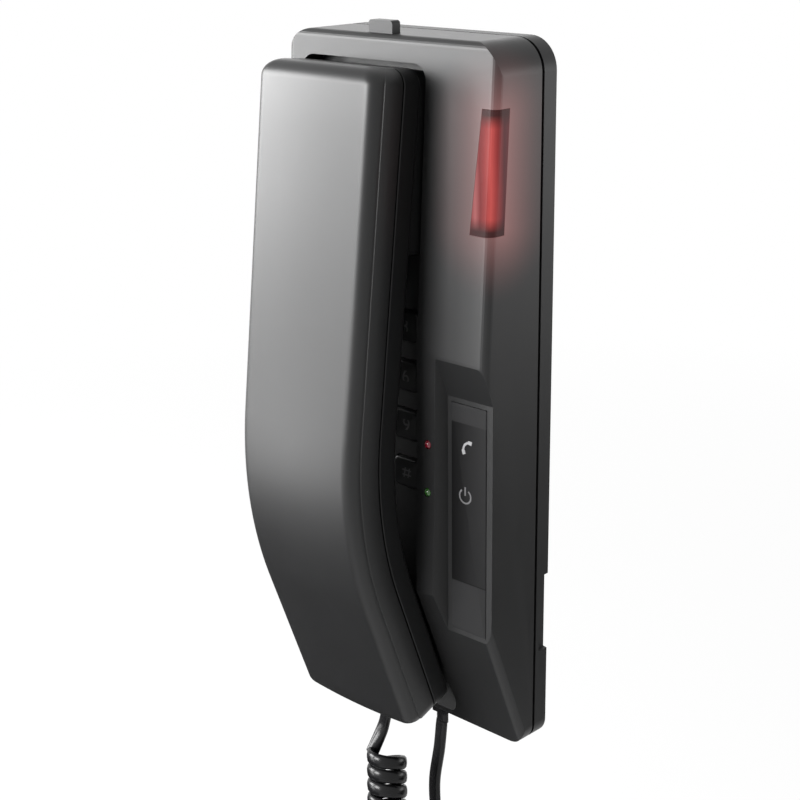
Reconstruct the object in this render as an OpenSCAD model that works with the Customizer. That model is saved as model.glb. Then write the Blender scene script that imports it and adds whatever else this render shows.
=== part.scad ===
// Slimline wall phone: a shallow base with a cradle for its bent handset,
// a lit corner lamp, a dial under the handset and a curly cord below.
// Millimetres. +Z up, +X to the user's right, the wall is the plane y = 0 and
// the user stands at -Y. The origin is the centre of the base's back face.
// Inside the modules, heights run up from the base's bottom edge and depths
// run out from the wall.

/* [Base] */
// Width of the base
base_w = 80; // [76:1:96]
// Height of the base
base_h = 210; // [204:1:236]
// Depth at the bottom edge
foot_depth = 9.8; // [9.4:0.2:11]
// Depth where the lower slope meets the front face
knee_depth = 30; // [29.6:0.2:34]
// Height of that knee
knee_z = 51; // [47:1:55]
// Depth where the front face starts to lean back
brow_depth = 29; // [28.6:0.2:29.8]
// Height of that brow
brow_z = 124; // [118:1:130]
// Depth at the top edge
top_depth = 24; // [23:0.2:26]
// Corner radius of the base in front view, top
top_corner_r = 9; // [5:0.5:14]
// Corner radius of the base in front view, bottom
foot_corner_r = 6; // [4:0.5:8]
// Rounding of the long front edges
edge_r = 2.5; // [1.5:0.25:3.5]
// Wall thickness of the housings
wall = 2; // [1.6:0.1:2.2]
// Thickness of the rear cover, out to the seam
cover_depth = 5.2; // [5:0.1:5.6]
// Width of the seam groove between rear cover and housing
seam_gap = 1; // [0.6:0.1:1.2]

/* [Cradle] */
// Room beside the handset in the cradle pocket
side_room = 0.5; // [0.5:0.1:1]
// Centre of pocket, dial and handset, left of the base's middle
cradle_x = -9.5; // [-10:0.25:-8]
// Gap between the pocket's top and the top of the base
pocket_top_gap = 7; // [6:0.5:8]
// Corner radius at the pocket's top
pocket_corner_r = 4.5; // [2:0.5:8]
// Depth of the dial floor, out from the wall
floor_depth = 21; // [20.6:0.1:21.8]
// Room between the dial floor and the back of the handset's bend
dial_room = 16.2; // [15.8:0.1:17]

/* [Handset] */
// Width of the handset
handset_w = 47.5; // [45:0.5:47.5]
// Thickness of the handset, front face to back face
handset_t = 18.8; // [18:0.2:20]
// Depth of its seam behind the front face
seam_t = 11.7; // [11:0.1:13]
// Lean of its upper limb
upper_lean = 6.6; // [6:0.1:7.2]
// Lean of its lower limb
lower_lean = 20.7; // [20.2:0.1:21.2]
// Radius of the bend, on the front face
bend_r = 120; // [110:1:122]
// Length of the straight lower limb
lower_len = 47.5; // [45:0.5:48]
// Room over the handset's back edge in the pocket
top_room = 1.4; // [1:0.1:3]
// Rounding of its front edges
handset_edge_r = 4; // [2:0.5:6]
// Corner radius at its ends
handset_corner_r = 5; // [4:0.5:9]
// Height of the ear block on its back
ear_block_h = 7.5; // [6.5:0.1:7.5]
// Length of the ear block
ear_block_len = 50.5; // [46:0.5:54]
// Height of the mouth cap
mouth_cap_h = 3.9; // [3.4:0.1:3.9]
// Radius of the mouth cap
mouth_cap_r = 12; // [11:0.5:12.5]

/* [Dial] */
// Width of a dial key
key_w = 10; // [8:0.5:11]
// Height of a dial key
key_h = 9; // [7:0.5:10]
// Spacing of the key columns
key_step_x = 13.5; // [13:0.25:14.5]
// Spacing of the key rows
key_step_z = 15; // [14:0.25:16]
// Height of the middle of the dial
dial_z = 105.5; // [103:0.5:108]
// How far a key stands out of the floor
key_proud = 1.6; // [1:0.1:2.4]
// Travel of a key
key_travel = 0.9; // [0.5:0.1:1]
// Gap round a key in its hole
key_gap = 0.3; // [0.2:0.05:0.5]

/* [Lamp and panel] */
// How far the message lamp's lower end lies below the top
lamp_drop = 50.5; // [46:0.5:54]
// Length of the message lamp
lamp_len = 33.5; // [28:0.5:36]
// Reach of the lamp over the front face
lamp_front = 6; // [4:0.5:7.5]
// Reach of the lamp round the side
lamp_side = 5.6; // [4:0.2:7]
// Depth of the function recess floor
recess_depth = 25.4; // [25:0.1:26]
// Left edge of the function recess
recess_x = 21.5; // [21:0.1:22.5]
// Height of the status lights' middle
status_z = 90; // [88:0.5:94]
// Spacing of the two status lights
status_step = 14.5; // [12:0.5:18]
// Radius of a status light
status_r = 1.25; // [1:0.05:1.3]
// Thickness of the label panel
panel_t = 0.6; // [0.4:0.1:1]

/* [Mounting] */
// Spacing of the two wall screws
wall_screw_step = 83.3; // [80:0.1:90]
// Radius of a wall screw hole
wall_hole_r = 2.1; // [1.8:0.1:2.5]
// Radius of the opening for the line cable
cable_hole_r = 9; // [7:0.5:11]
// How far that opening lies below the middle
cable_hole_drop = 20; // [16:1:24]

/* [Curly cord] */
// Width of the flat cord
cord_w = 4; // [3.8:0.05:4.05]
// Thickness of the flat cord
cord_t = 2.4; // [2:0.1:2.6]
// Outer diameter of the coil
coil_d = 12.9; // [12:0.1:13.5]
// Spacing of the curls where the coil is straight
coil_pitch = 4.5; // [4.5:0.05:4.7]

/* [Hidden] */
$fn = 48;

eps = 0.01;
fit = 0.3;              // running gap between pieces that move past each other
snug = 0.1;             // gap round a piece that is set in a hole
run_fit = 0.05;         // radial clearance of a guided shaft
far = 80;               // beyond the phone on every side

// base
face_line = [[0, foot_depth], [knee_z, knee_depth], [brow_z, brow_depth], [base_h, top_depth]];
housing_back = cover_depth + seam_gap;
lip_gap = 0.2;          // lip of the cover inside the housing
lip_t = 1.4;
lip_depth = 8;
top_edge_r = 2.2;
snap_step = 65;
snap_zs = [for (n = [-1:1]) base_h / 2 + n * snap_step];
snap_w = 8;
snap_h = 1.2;
snap_reach = 0.8;
notch_z = 28;           // cable notch in the right rear edge
notch_len = 28;
notch_in = 1.3;
corner_post_x = base_w / 2 - 7;
corner_post_zs = [12, base_h - 12];
screw_boss_t = 2.5;     // wall of the bosses round the wall screws
rib_zs = [for (rise = [-61, -17, 17, 73]) base_h / 2 + rise];
rib_x = 20;             // middle of a rib
rib_len = 26;
rib_t = 1.2;
corner_post_r = 3;
corner_post_depth = 7.8; // where the posts of cover and housing meet

// handset, about the centre of its bend
bend_turn = upper_lean + lower_lean;
back_r = bend_r - handset_t;
bend_y = back_r - floor_depth - dial_room; // centre of the bend, behind the wall plane
bend_z = 89.5;
pocket_top = base_h - pocket_top_gap;
upper_len = (pocket_top - top_room - bend_z - back_r * sin(upper_lean)) / cos(upper_lean);
seam_r = bend_r - seam_t;
seam_groove = 0.7;
shell_t = 2;
corner_steps = 4;       // facets of a rounded corner
bend_steps = 12;        // and of the bend
rest_gap = 0.3;         // ear and mouth caps above the cradle floor
cap_wall = 2;
ear_at = upper_len - 26; // middle of the earpiece, along the upper limb
ear_inset = 0.4;        // of the ear block's sides
ear_foot_r = 2;         // corners of the block's lower end
earpiece_r = 17;
earpiece_h = 4;
magnet_r = 9;
magnet_h = 8;
microphone_r = 4.8;
microphone_h = 4.6;
weight_size = [2.5, 34, 28];
weight_at = 17;         // along the upper limb
mouth_cap_at = 25;      // along the lower limb
hole_r = 0.8;           // sound holes
hole_step = 3.6;
mouth_hole_step = 3;

// cradle floor lies parallel to the limbs of the handset, under their caps
function limb_back(lean, z) = // depth of the handset's back face at height z
    (back_r - (z - bend_z) * sin(lean)) / cos(lean) - bend_y;
function ear_floor(z) = limb_back(upper_lean, z) - (ear_block_h + rest_gap) / cos(upper_lean);
function mouth_floor(z) = limb_back(-lower_lean, z) - (mouth_cap_h + rest_gap) / cos(lower_lean);
pocket_w = handset_w + 2 * side_room;
pocket_foot_r = 6.5;
pocket_foot = 1.5;
toe_z = 11;             // where the floor turns out to the foot of the base
ear_z = bend_z + (back_r - (floor_depth + bend_y + (ear_block_h + rest_gap) / cos(upper_lean))
    * cos(upper_lean)) / sin(upper_lean);
mouth_z = bend_z - (back_r - (floor_depth + bend_y + (mouth_cap_h + rest_gap) / cos(lower_lean))
    * cos(lower_lean)) / sin(lower_lean);

// boards and keys
board_t = 1.6;
board_front = 12.6;
mat_t = 1;
key_flange = 1.2;       // reach of the flange past the cap
key_flange_t = 1.2;
key_stem_r = 1.8;
key_r = 1.6;
post_r = 2.8;
board_screw_r = 1.05;
board_bore_r = 1.1;
board_head_r = 2.1;
board_head_h = 1.5;
board_screw_in = 4.5;   // of a board screw, inside its post
slot_len = 2.8;         // cross slots of the screw heads
slot_w = 0.5;
board_x = 28;
board_zs = [64, 145];
board_edge = 3.5;       // board beyond its screws
chip = [14, 14, 3];     // width, height and thickness of what stands on the board's back
chip_at = [13, 73];
driver = [12, 12, 1.6];
driver_at = [-14, 92];
ringer_at = [23.6, 120];
ringer_r = 7;
ringer_h = 5.5;
ringer_hole_r = 1.2;
can_r = 2;
can_h = 4.5;
can_step = 5;
can_at = [-21, 124];

// hook switch
hook_z = base_h - 46;
hook_r = 2.4;
hook_flange_r = 4;
hook_flange_t = 1.2;
hook_back = 11;         // depth of the plunger's flange, pressed
spring_wire = 0.6;
spring_r = 3.1;         // of the wire's middle
spring_turns = 3;
switch_depth = 6;
switch_w = 12.8;
switch_h = 6.4;
switch_button_r = 2.6;

// release tab in the top edge
tab_w = 9;
tab_t = 3.2;
tab_h = 3.5;
tab_x = -4.8;
tab_depth = top_depth - 5.4;
tab_flange = 1.5;       // of the tab, under the housing's top wall
tab_flange_t = 1.2;

// sockets and plugs
socket_w = 9.6;
socket_t = 5.8;
socket_len = 13;
socket_wall = 0.8;
plug_gap = 0.1;
plug_len = 11;
plug_neck = 2.5;
base_socket_x = 2;
socket_r = back_r + 6.2; // middle of the handset's socket, from the bend's centre

// lamp and panel
lamp_lip = 1.2;         // lip of the lens behind the housing's skin
lamp_lip_t = 0.9;
recess_foot = 112;      // height where the recess floor meets its sloped head
recess_wall_lean = 1.7;
panel_x = 24.8;
panel_w = 13;
panel_z = 41;
panel_h = 69.5;
status_x = 19;
lamp_z = base_h - lamp_drop;
lamp_board_x = base_w / 2 - 10.5;
lamp_board_depths = [13, 21.5];
lamp_wall = 2;          // wall that carries the lamp board
led_r = 1.5;
led_h = 2;
led_step = 8;
led_depth = 17.5;

// cord, in the part's own frame
coil_route = [[-6.5, -22, -122], [-2.6, -26, -139.5], [-0.4, -28.2, -158], [-0.6, -28.6, -178],
    [-2.2, -28, -198], [-4, -26.8, -218], [-4.4, -25, -236.5], [1.2, -22.4, -252],
    [14.6, -19, -258.5], [27.6, -15.8, -252.5], [32.8, -13.6, -238], [31.6, -12, -220],
    [28, -11, -202], [23.4, -10.2, -185], [19, -9.65, -171.3]];
handset_lead_route = [[-10, -19, -109], [-11.5, -22.5, -114.5]];
base_lead_route = [[2, -5.2, -112], [1.2, -5.6, -122], [-0.6, -6, -135], [0.4, -6.2, -147],
    [4, -6.4, -156], [9, -6.6, -162]];
loop_normal = [-0.2, 0.98, 0];
coil_start = -105;       // where the first curl begins, round the coil
coil_sense = -1;        // it winds forwards from the left
coil_r = (coil_d - cord_t) / 2;
curl_rings = 8;
route_steps = 16;
lead_rings = 26;

// ---------------------------------------------------------------- helpers

module on_wall() translate([0, 0, -base_h / 2]) children();

// a (y, z) profile carried along X
module across(x0, x1) translate([x0, 0, 0]) rotate([90, 0, 90]) linear_extrude(x1 - x0) children();

// an (x, z) outline carried out from the wall
module outward(d0, d1) translate([0, -d0, 0]) rotate([90, 0, 0]) linear_extrude(d1 - d0) children();

module post(x, z, r, d0, d1) translate([x, -d0, z]) rotate([90, 0, 0]) cylinder(h = d1 - d0, r = r);

module bar(x0, x1, d0, d1, z0, z1) translate([x0, -d1, z0]) cube([x1 - x0, d1 - d0, z1 - z0]);

function arc(x, y, r, a0, a1, n) =
    [for (i = [0:n]) let (a = a0 + (a1 - a0) * i / n) [x + r * cos(a), y + r * sin(a)]];

// upright rectangle with its foot at y = 0 and its own radii at top and foot
module plate(w, h, r_top, r_foot) {
    translate([-w / 2, r_foot]) square([w, h - r_top - r_foot]);
    translate([r_top - w / 2, h - r_top]) square([w - 2 * r_top, r_top]);
    translate([r_foot - w / 2, 0]) square([w - 2 * r_foot, r_foot]);
    for (s = [-1, 1]) {
        translate([s * (w / 2 - r_top), h - r_top]) circle(r_top);
        translate([s * (w / 2 - r_foot), r_foot]) circle(r_foot);
    }
}

// ------------------------------------------------------------ base, shapes

module base_outline(i) translate([0, i])
    plate(base_w - 2 * i, base_h - 2 * i, top_corner_r - i, foot_corner_r - i);

// stretch n of the front face, counted from the foot and drawn in by i: its lean and its line
function face_lean(n) =
    atan2(face_line[n + 1][1] - face_line[n][1], face_line[n + 1][0] - face_line[n][0]);
function face_depth(n, z, i) =
    face_line[n][1] + (z - face_line[n][0]) * tan(face_lean(n)) - i / cos(face_lean(n));
function face_meet(n, i) = // height where stretch n and the one below it cross
    (face_depth(n, 0, i) - face_depth(n - 1, 0, i)) / (tan(face_lean(n - 1)) - tan(face_lean(n)));
function round_steps(i) = i < 1 ? 6 : 2; // outer edges are rounded finely, inner ones coarsely

// side view with the rounded top edge
module side_profile(i) {
    r = top_edge_r - i / 2;
    lean = -face_lean(2);
    zc = base_h - i - r;
    yc = face_depth(2, zc, i) - r / cos(lean);
    polygon(concat([[far, -far], [-face_depth(0, -foot_depth, i), -foot_depth]],
        [for (n = [1, 2]) [-face_depth(n, face_meet(n, i), i), face_meet(n, i)]],
        [for (p = arc(yc, zc, r, lean, 90, round_steps(i))) [-p[0], p[1]]], [[far, base_h - i]]));
}

// what rounding takes off the long edges of stretch n
module edge_cut(n, i) {
    r = max(edge_r - i, 0.5);
    side = base_w / 2 - i;
    for (s = [0, 1]) mirror([s, 0, 0])
        translate([0, -face_line[n][1], face_line[n][0]]) rotate([face_lean(n), 0, 0])
            translate([0, i, -2 * base_h]) linear_extrude(4 * base_h) polygon(concat([[side - r, -r]],
                arc(side - r, r, r + eps, 270, 360, round_steps(i)), [[side + r, r], [side + r, -r]]));
}

module base_form(i) difference() {
    intersection() {
        outward(-eps, far) base_outline(i);
        across(-base_w, base_w) side_profile(i);
    }
    edge_cut(0, i);
    edge_cut(1, i);
    edge_cut(2, i);
}

// cradle: an upright pocket whose floor follows the handset's back; g grows it
module pocket_space(g) intersection() {
    outward(0, far) translate([cradle_x, pocket_foot - g])
        plate(pocket_w + 2 * g, pocket_top - pocket_foot + 2 * g, pocket_corner_r + g, pocket_foot_r + g);
    across(cradle_x - pocket_w, cradle_x + pocket_w) polygon([
        [g - ear_floor(base_h), base_h],
        [g - floor_depth, ear_z],
        [g - floor_depth, mouth_z],
        [g - mouth_floor(toe_z), toe_z],
        [g - mouth_floor(toe_z) - 0.7, pocket_foot],
        [g - mouth_floor(toe_z) - 0.7, -far],
        [-far, -far], [-far, base_h]]);
}

// recess for the label panel, open to the right side
module recess_space(g) intersection() {
    translate([0, 0, -far]) linear_extrude(base_h + 2 * far) polygon([
        [recess_x - g, -far], [recess_x - g, -knee_depth],
        [recess_x + recess_wall_lean - g, g - recess_depth],
        [base_w, g - recess_depth], [base_w, -far]]);
    across(recess_x - 5, base_w) polygon([
        [g - recess_depth, 0], [g - recess_depth, recess_foot],
        [g - brow_depth - 0.3, brow_z + g], [-far, brow_z + g], [-far, 0]]);
}

// the corner that the message lamp takes out of the housing; g grows it
module lamp_zone(g) {
    lean = 1.3;
    face_low = brow_depth + (lamp_z - brow_z) * (top_depth - brow_depth) / (base_h - brow_z);
    face_high = brow_depth + (lamp_z + lamp_len - brow_z) * (top_depth - brow_depth) / (base_h - brow_z);
    z0 = lamp_z - g;
    z1 = lamp_z + lamp_len + g;
    intersection() {
        outward(0, far) polygon([[base_w / 2 - lamp_front + lean - g, z1], [base_w, z1], [base_w, z0],
            [base_w / 2 - lamp_front - lean - g, z0]]);
        across(0, base_w) polygon([[lamp_side + g - face_low, z0], [-far, z0], [-far, z1],
            [lamp_side + g - face_high, z1]]);
    }
}

function front_face(z) = knee_depth + (z - knee_z) * (brow_depth - knee_depth) / (brow_z - knee_z);
function key_place(n) = [cradle_x + (n % 3 - 1) * key_step_x, dial_z + (1.5 - floor(n / 3)) * key_step_z];

module key_outline(g) translate([0, -key_h / 2 - g]) plate(key_w + 2 * g, key_h + 2 * g, key_r, key_r);

// ------------------------------------------------------------- base, pieces

module front_housing() color("#3a3b3d") on_wall() difference() {
    union() {
        difference() {
            intersection() {
                base_form(0);
                bar(-base_w, base_w, housing_back, far, -eps, base_h + eps);
            }
            base_form(wall);
        }
        intersection() {
            base_form(wall / 2);
            bar(-base_w, base_w, housing_back, far, 0, base_h);
            union() {
                pocket_space(wall);
                recess_space(wall);
            }
        }
        intersection() {
            base_form(wall / 2);
            union() {
                for (x = [-board_x, board_x], z = board_zs) post(x, z, post_r, board_front, far);
                for (x = [-corner_post_x, corner_post_x], z = corner_post_zs)
                    post(x, z, corner_post_r, corner_post_depth, far);
                bar(lamp_board_x - lamp_wall, lamp_board_x, lamp_board_depths[0] + 1, far,
                    lamp_z + 4, lamp_z + lamp_len - 4);
            }
        }
        for (s = [-1, 1], z = snap_zs)
            bar(s * (base_w / 2 - wall) - snap_reach, s * (base_w / 2 - wall) + snap_reach,
                housing_back + 0.3, housing_back + 0.3 + snap_h, z - snap_w / 2, z + snap_w / 2);
    }
    pocket_space(0);
    recess_space(0);
    lamp_zone(snug);
    for (n = [0:11]) translate([key_place(n)[0], 0, key_place(n)[1]]) outward(0, far) key_outline(key_gap);
    for (s = [-1, 1]) post(status_x, status_z + s * status_step / 2, status_r + snug, 0, far);
    for (x = [-board_x, board_x], z = board_zs) post(x, z, board_bore_r, 0, board_front + 5);
    post(cradle_x, hook_z, hook_r + run_fit, 0, far);
    bar(panel_x - snug, panel_x + panel_w + snug, recess_depth - panel_t / 2, far, panel_z - snug,
        panel_z + panel_h + snug);
    bar(tab_x - tab_w / 2 - fit, tab_x + tab_w / 2 + fit, tab_depth - fit, tab_depth + tab_t + fit,
        base_h - wall - 1, base_h + 1);
    bar(base_socket_x - socket_w / 2 - snug, base_socket_x + socket_w / 2 + snug, 0,
        wall + socket_t + snug, -1, socket_len + snug);
}

module rear_cover() color("#2c2d2f") on_wall() difference() {
    union() {
        difference() {
            union() {
                outward(0, cover_depth) base_outline(0);
                outward(cover_depth - 1, lip_depth) base_outline(wall + lip_gap);
            }
            outward(wall, far) base_outline(wall + lip_gap + lip_t);
        }
        for (s = [-1, 1]) {
            post(0, base_h / 2 + s * wall_screw_step / 2, wall_hole_r + screw_boss_t, 1, 4);
            for (z = corner_post_zs) post(s * corner_post_x, z, corner_post_r, 1, corner_post_depth);
            for (z = rib_zs) bar(s * rib_x - rib_len / 2, s * rib_x + rib_len / 2, 1, 3, z - rib_t / 2,
                z + rib_t / 2);
        }
        post(0, base_h / 2 - cable_hole_drop, cable_hole_r + 1.6, 1, 3.6);
    }
    for (s = [-1, 1]) {
        post(0, base_h / 2 + s * wall_screw_step / 2, wall_hole_r, -1, 10);
        for (z = snap_zs) bar(s * base_w / 2 - 5, s * base_w / 2 + 5, housing_back, far,
            z - snap_w / 2 - fit, z + snap_w / 2 + fit);
    }
    post(0, base_h / 2 - cable_hole_drop, cable_hole_r, -1, 10);
    outward(-1, cover_depth - 1.4) polygon([
        [base_w / 2 - notch_in, notch_z + 2], [base_w, notch_z - 4],
        [base_w, notch_z + notch_len + 4], [base_w / 2 - notch_in, notch_z + notch_len - 2]]);
    bar(base_socket_x - socket_w / 2 - snug, base_socket_x + socket_w / 2 + snug, wall, far, -1,
        socket_len + snug);
    bar(cradle_x - switch_w / 2 - snug, cradle_x + switch_w / 2 + snug, wall, far,
        hook_z - switch_h / 2 - 0.8, hook_z + switch_h / 2 + 0.8);
}

module release_tab() color("#9a9b9c") on_wall() {
    z_top = base_h - wall - snug;
    translate([tab_x, -tab_depth, z_top]) rotate([90, 0, 0]) linear_extrude(tab_t)
        translate([0, -0.2]) plate(tab_w, wall + tab_h + snug + 0.2, 1, 0.3);
    bar(tab_x - tab_w / 2 - tab_flange, tab_x + tab_w / 2 + tab_flange, tab_depth - 1, tab_depth + tab_t - 1,
        z_top - tab_flange_t, z_top);
}

module message_lamp_lens() color("#c22a2c") on_wall() {
    intersection() {
        lamp_zone(0);
        difference() {
            base_form(0);
            base_form(wall + lamp_lip_t);
        }
    }
    intersection() {
        lamp_zone(lamp_lip);
        difference() {
            base_form(wall + run_fit);
            base_form(wall + lamp_lip_t);
        }
    }
}

module lamp_board() color("#2f6b4a") on_wall()
    bar(lamp_board_x, lamp_board_x + board_t, lamp_board_depths[0], lamp_board_depths[1], lamp_z + 3,
        lamp_z + lamp_len - 3);

module lamp_leds() color("#e8e4dc") on_wall() for (n = [-1:1])
    translate([lamp_board_x + board_t, -led_depth, lamp_z + lamp_len / 2 + n * led_step]) rotate([0, 90, 0]) {
        cylinder(h = led_h, r = led_r);
        translate([0, 0, led_h]) sphere(led_r);
        cylinder(h = 0.6, r = led_r + 0.4);
    }

module status_light(z) {
    face = front_face(z) - 0.7;
    post(status_x, z, status_r, board_front, face);
    translate([status_x, -face, z]) sphere(status_r);
}

module status_light_red() color("#d8413c") on_wall() status_light(status_z + status_step / 2);
module status_light_green() color("#4ba35a") on_wall() status_light(status_z - status_step / 2);

module label_panel() color("#505255") on_wall()
    bar(panel_x, panel_x + panel_w, recess_depth - panel_t / 2, recess_depth + panel_t / 2, panel_z,
        panel_z + panel_h);

// a block of a given size on the back of the main board
module on_board(at, size) bar(at[0] - size[0] / 2, at[0] + size[0] / 2, board_front - board_t - size[2],
    board_front - board_t, at[1] - size[1] / 2, at[1] + size[1] / 2);

module main_board() color("#2f6b4a") on_wall() difference() {
    union() {
        bar(-board_x - board_edge, board_x + board_edge, board_front - board_t, board_front,
            board_zs[0] - board_edge, board_zs[1] + board_edge);
        on_board(chip_at, chip);
        on_board(driver_at, driver);
        for (n = [-1:1]) post(can_at[0] + n * can_step, can_at[1], can_r, board_front - board_t - can_h,
            board_front - board_t);
    }
    for (x = [-board_x, board_x], z = board_zs) post(x, z, board_bore_r + 0.2, 0, far);
}

module board_screws() color("#b9bcc0") on_wall() for (x = [-board_x, board_x], z = board_zs) difference() {
    union() {
        post(x, z, board_screw_r, board_front - board_t - 1, board_front + board_screw_in);
        post(x, z, board_head_r, board_front - board_t - board_head_h, board_front - board_t);
    }
    for (turn = [0, 90]) translate([x, -(board_front - board_t - board_head_h / 2), z]) rotate([0, turn, 0])
        translate([-slot_len / 2, 0, -slot_w / 2]) cube([slot_len, board_head_h, slot_w]);
}

module keypad_mat() color("#8b8d90") on_wall() {
    half_x = key_step_x + key_w / 2 + 1;
    half_z = 1.5 * key_step_z + key_h / 2 + 1;
    bar(cradle_x - half_x, cradle_x + half_x, board_front, board_front + mat_t, dial_z - half_z,
        dial_z + half_z);
}

module ringer() color("#1c1c1e") on_wall() difference() {
    post(ringer_at[0], ringer_at[1], ringer_r, board_front, board_front + ringer_h);
    post(ringer_at[0], ringer_at[1], ringer_hole_r, board_front + ringer_h - 1.5, far);
}

module hook_switch() color("#26282b") on_wall() {
    bar(cradle_x - switch_w / 2, cradle_x + switch_w / 2, wall, switch_depth - 0.6, hook_z - switch_h / 2,
        hook_z + switch_h / 2);
    post(cradle_x, hook_z, switch_button_r, switch_depth - 1, switch_depth);
}

module hook_plunger() color("#1f2022") on_wall() {
    tip = ear_floor(hook_z) + rest_gap - snug - hook_r;
    post(cradle_x, hook_z, hook_r, hook_back, tip);
    translate([cradle_x, -tip, hook_z]) sphere(hook_r);
    post(cradle_x, hook_z, hook_flange_r, hook_back, hook_back + hook_flange_t);
}

module base_socket() color("#18191a") on_wall() socket([base_socket_x, -wall - socket_t / 2, 0]);

module socket(at) translate(at) difference() {
    translate([-socket_w / 2, -socket_t / 2, 0.2]) cube([socket_w, socket_t, socket_len - 0.2]);
    translate([-plug_size[0] / 2 - plug_gap, -plug_size[1] / 2 - plug_gap, -1])
        cube([plug_size[0] + 2 * plug_gap, plug_size[1] + 2 * plug_gap, plug_len + 0.2]);
}

plug_size = [socket_w - 2 * socket_wall - 2 * plug_gap, socket_t - 2 * socket_wall - 2 * plug_gap];
plug_out = 1.2;         // of the plug, outside its socket

// upright plug in a socket whose mouth is at z = 0, its cord leaving downwards
module plug() {
    translate([-plug_size[0] / 2, -plug_size[1] / 2, -plug_out])
        cube([plug_size[0], plug_size[1], plug_len]);
    translate([-cord_w / 2 - 0.7, -cord_t / 2 - 0.6, -plug_out - plug_neck])
        cube([cord_w + 1.4, cord_t + 1.2, plug_neck + 1]);
}

module base_plug() color("#d9d9d6") on_wall() translate([base_socket_x, -wall - socket_t / 2, 0]) plug();

module dial_key(n) color("#2a2b2d") on_wall() translate([key_place(n)[0], 0, key_place(n)[1]]) {
    outward(floor_depth - wall - snug - 0.2, floor_depth + key_proud) key_outline(0);
    outward(floor_depth - wall - snug - key_flange_t, floor_depth - wall - snug) key_outline(key_flange);
    post(0, 0, key_stem_r, board_front + mat_t + key_travel + snug, floor_depth - wall - snug);
}

module key_1() dial_key(0);
module key_2() dial_key(1);
module key_3() dial_key(2);
module key_4() dial_key(3);
module key_5() dial_key(4);
module key_6() dial_key(5);
module key_7() dial_key(6);
module key_8() dial_key(7);
module key_9() dial_key(8);
module key_star() dial_key(9);
module key_0() dial_key(10);
module key_hash() dial_key(11);

// ---------------------------------------------------------- handset, shapes
// frame of the handset: X runs out from the centre of the bend, Y runs up

module at_bend() on_wall() translate([cradle_x, bend_y, bend_z]) rotate([90, 0, -90]) children();
module upper() rotate([0, 0, upper_lean]) children();
module lower() rotate([0, 0, -lower_lean]) mirror([0, 1, 0]) children();
module radial(b, c, r, r0, r1)
    translate([r0, b, c]) rotate([0, 90, 0]) cylinder(h = r1 - r0, r = r);

// stations from the ear end to the mouth end: turn, distance past the bend, distance from the end
function from_end(c) = [for (k = [0:corner_steps]) c * (1 - cos(90 * k / corner_steps))];
function stations(i) = let (from = from_end(handset_corner_r - i), last = corner_steps) concat(
    [for (k = [0:last]) [upper_lean, upper_len - i - from[k], from[k]]],
    [for (k = [0:bend_steps]) [upper_lean - bend_turn * k / bend_steps, 0, far]],
    [for (k = [0:last]) [-lower_lean, i + from[last - k] - lower_len, from[last - k]]]);

// how far a rounding of radius r draws a side in, at a distance of e from the end
function drawn_in(r, e) = e < r ? r - sqrt(r * r - (r - e) * (r - e)) : 0;

// cross-section at a station, from radius r0 out to r1; re rounds its outer corners
function handset_ring(at, r0, r1, i, re) = let (
    half = handset_w / 2 - i - drawn_in(handset_corner_r - i, at[2]),
    top = r1 - drawn_in(re, at[2]),
    corners = re == 0 ? [[top, -half], [top, half]] : concat(
        arc(top - re, re - half, re, -90, 0, corner_steps), arc(top - re, half - re, re, 0, 90, corner_steps)))
    [for (p = concat([[r0, -half]], corners, [[r0, half]]))
        [p[0] * cos(at[0]) - at[1] * sin(at[0]), p[0] * sin(at[0]) + at[1] * cos(at[0]), p[1]]];

// the bent bar between radii r0 and r1, drawn in by i all round
module handset_form(r0, r1, i, re) tube([for (at = stations(i)) handset_ring(at, r0, r1, i, re)]);

handset_screw_at = [10, 4];  // along the upper and the lower limb
handset_screw_r = 1.15;
handset_screw_len = 9;
handset_head_r = 2.3;
handset_head_h = 1.1;
module handset_screw_places() {
    upper() translate([0, handset_screw_at[0], 0]) children();
    lower() translate([0, handset_screw_at[1], 0]) children();
}

module socket_hole(g)
    lower() translate([socket_r - socket_t / 2 - g, lower_len - socket_len - g, -socket_w / 2 - g])
        cube([socket_t + 2 * g, socket_len + 2, socket_w + 2 * g]);

// block that holds the earpiece, from the handset's back inwards; i draws it in
module ear_block(r0, r1, i) upper()
    translate([r0, upper_len - ear_block_len + i, 0]) rotate([90, 0, 90]) linear_extrude(r1 - r0)
        rotate(-90) plate(handset_w - 2 * (ear_inset + i), ear_block_len - ear_inset - 2 * i,
            handset_corner_r - i, ear_foot_r);

// ---------------------------------------------------------- handset, pieces

module handset_front() color("#3c3d3f") at_bend() difference() {
    union() {
        difference() {
            handset_form(seam_r + seam_groove / 2, bend_r, 0, handset_edge_r);
            handset_form(seam_r - 1, bend_r - shell_t, shell_t, 0);
        }
        handset_screw_places() radial(0, 0, 3.2, back_r + shell_t + snug, bend_r - shell_t / 2);
    }
    handset_screw_places() radial(0, 0, handset_screw_r + run_fit, 0, back_r + handset_screw_len + 2);
    socket_hole(snug);
}

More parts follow.
